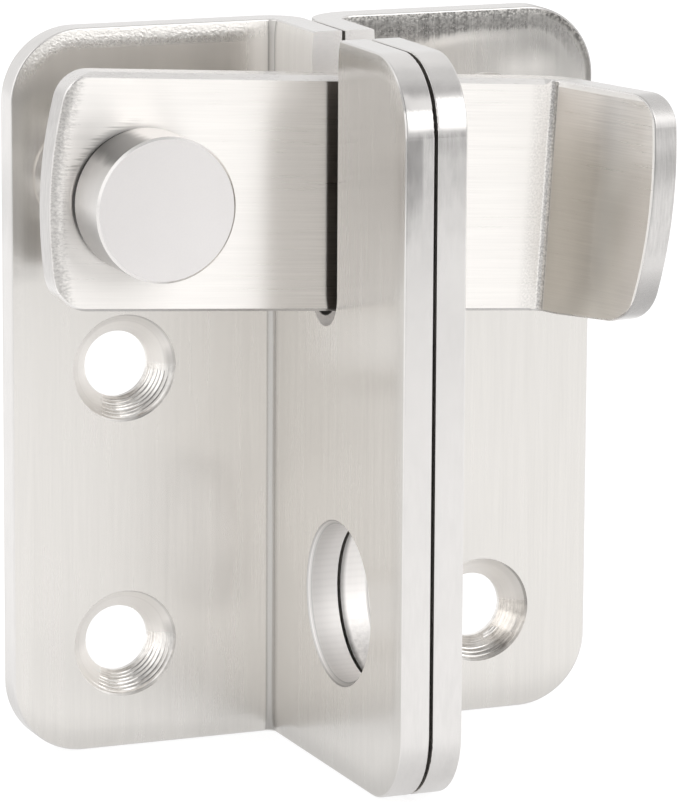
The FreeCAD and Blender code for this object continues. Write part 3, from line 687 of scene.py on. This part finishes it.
paint("pivot_rivet", [rivet_face(), rivet_side("rivet_side", 0.36, 1.0, painted_shade_amount=0.62), rivet_side("rivet_chamfer", 0.26, 1.0, 0.001)],
      rivet_pick)
paint("spacer_bush", [rivet_side("spacer_turned", 0.24, 1.1)], lambda c, n: 0)

w = Mat("washer_nylon", metal=0.0)
grit = w.noise(w.x * 3.0, w.y * 3.0, w.z * 3.0, 2.0)
w.base(w.blend(grit, (0.70, 0.69, 0.65), (0.78, 0.77, 0.73)))
w.rough(0.45 + (grit - 0.5) * 0.2)
w.bump(grit * 0.004)
paint("arm_washer", [w], lambda c, n: 0)

w = Mat("washer_black", metal=0.0)
grit = w.noise(w.x * 4.0, w.y * 4.0, w.z * 4.0, 2.0)
w.base(w.blend(grit, (0.010, 0.010, 0.010), (0.028, 0.027, 0.026)))
w.rough(0.50 + (grit - 0.5) * 0.2)
w.bump(grit * 0.004)
paint("head_washer", [w], lambda c, n: 0)

# ------------------------------------------------------------------ floor
FLOOR_Z = cad_box[0][2] - 0.00015
FRONT_END = -0.36                            # the pale table ends here, before the camera

fme = bpy.data.meshes.new("floor")
fme.from_pydata([(-1.6, FRONT_END, FLOOR_Z), (1.6, FRONT_END, FLOOR_Z), (1.6, 1.6, FLOOR_Z), (-1.6, 1.6, FLOOR_Z)],
                [], [(0, 1, 2, 3)])
floor = bpy.data.objects.new("floor", fme)
bpy.context.scene.collection.objects.link(floor)
fm = Mat("floor_white", metal=0.0)
fm.p.inputs["Base Color"].default_value = (0.25, 0.25, 0.25, 1)
fm.p.inputs["Roughness"].default_value = 0.9
fm.p.inputs["Specular IOR Level"].default_value = 0.0
fm.p.inputs["Emission Color"].default_value = (1, 1, 1, 1)
# painted shade: the table glows a little less close to the part, while the camera sees it evenly
by_flange = hyp((fm.x.abs() - 3.2).max(0.0), ((-DEPTH) - fm.y).max(0.0))
by_plates = hyp((fm.x.abs() - 30.0).max(0.0), (-3.0 - fm.y).max(0.0))
away = by_flange.min(by_plates)
glow = away.smooth(0.0, 16.0, 0.66, 0.86)
seen = fm.t.nodes.new("ShaderNodeLightPath").outputs["Is Camera Ray"]
glow = glow + (0.86 - glow) * E(fm.t, seen)
fm.t.links.new(glow.v, fm.p.inputs["Emission Strength"])
fme.materials.append(fm.m)


# ------------------------------------------------------------------ light
class Studio:
    """Surrounding light, by direction: azimuth from the front (+ to the right) and height."""

    def __init__(self):
        self.w = bpy.data.worlds.new("studio")
        bpy.context.scene.world = self.w
        self.w.use_nodes = True
        self.t = self.w.node_tree
        self.t.nodes.clear()
        out = self.t.nodes.new("ShaderNodeOutputWorld")
        self.bg = self.t.nodes.new("ShaderNodeBackground")
        self.t.links.new(self.bg.outputs[0], out.inputs[0])
        g = self.t.nodes.new("ShaderNodeTexCoord").outputs["Generated"]
        n = self.t.nodes.new("ShaderNodeVectorMath")
        n.operation = "NORMALIZE"
        self.t.links.new(g, n.inputs[0])
        sp = self.t.nodes.new("ShaderNodeSeparateXYZ")
        self.t.links.new(n.outputs[0], sp.inputs[0])
        x, y, z = (E(self.t, o) for o in sp.outputs)
        self.az = x.atan2(-y) * (180 / math.pi)
        self.el = z.op("ARCSINE") * (180 / math.pi)
        self.lum = E(self.t, 0.95)

    def patch(self, az0, az1, el0, el1, soft, value):
        a = self.az.smooth(az0 - soft, az0 + soft) - self.az.smooth(az1 - soft, az1 + soft)
        b = self.el.smooth(el0 - soft, el0 + soft) - self.el.smooth(el1 - soft, el1 + soft)
        m = a * b
        base = self.lum
        if isinstance(base.v, (int, float)):
            self.lum = m * (value - base.v) + base.v
        else:
            self.lum = base + m * (value - base)


S = Studio()
S.patch(-120, -42, -20, 60, 12, 1.30)        # white wall on the left
S.patch(-70, 110, -95, 2, 5, 0.38)           # dim room in front, below the softbox
S.patch(-34, 4, -30, 42, 6, 0.36)            # around the camera
S.patch(6, 80, 4, 48, 5, 2.0)                # softbox
S.patch(-500, 500, 62, 200, 6, 0.72)         # ceiling
seen = E(S.t, S.t.nodes.new("ShaderNodeLightPath").outputs["Is Camera Ray"])
S.lum = S.lum + seen * (1.05 - S.lum)
S.t.links.new(S.lum.v, S.bg.inputs["Strength"])
S.bg.inputs["Color"].default_value = (1, 1, 1, 1)

view = bpy.context.scene.view_settings
view.view_transform = "Standard"
view.look = "None"
view.exposure = 0.0
view.gamma = 1.0
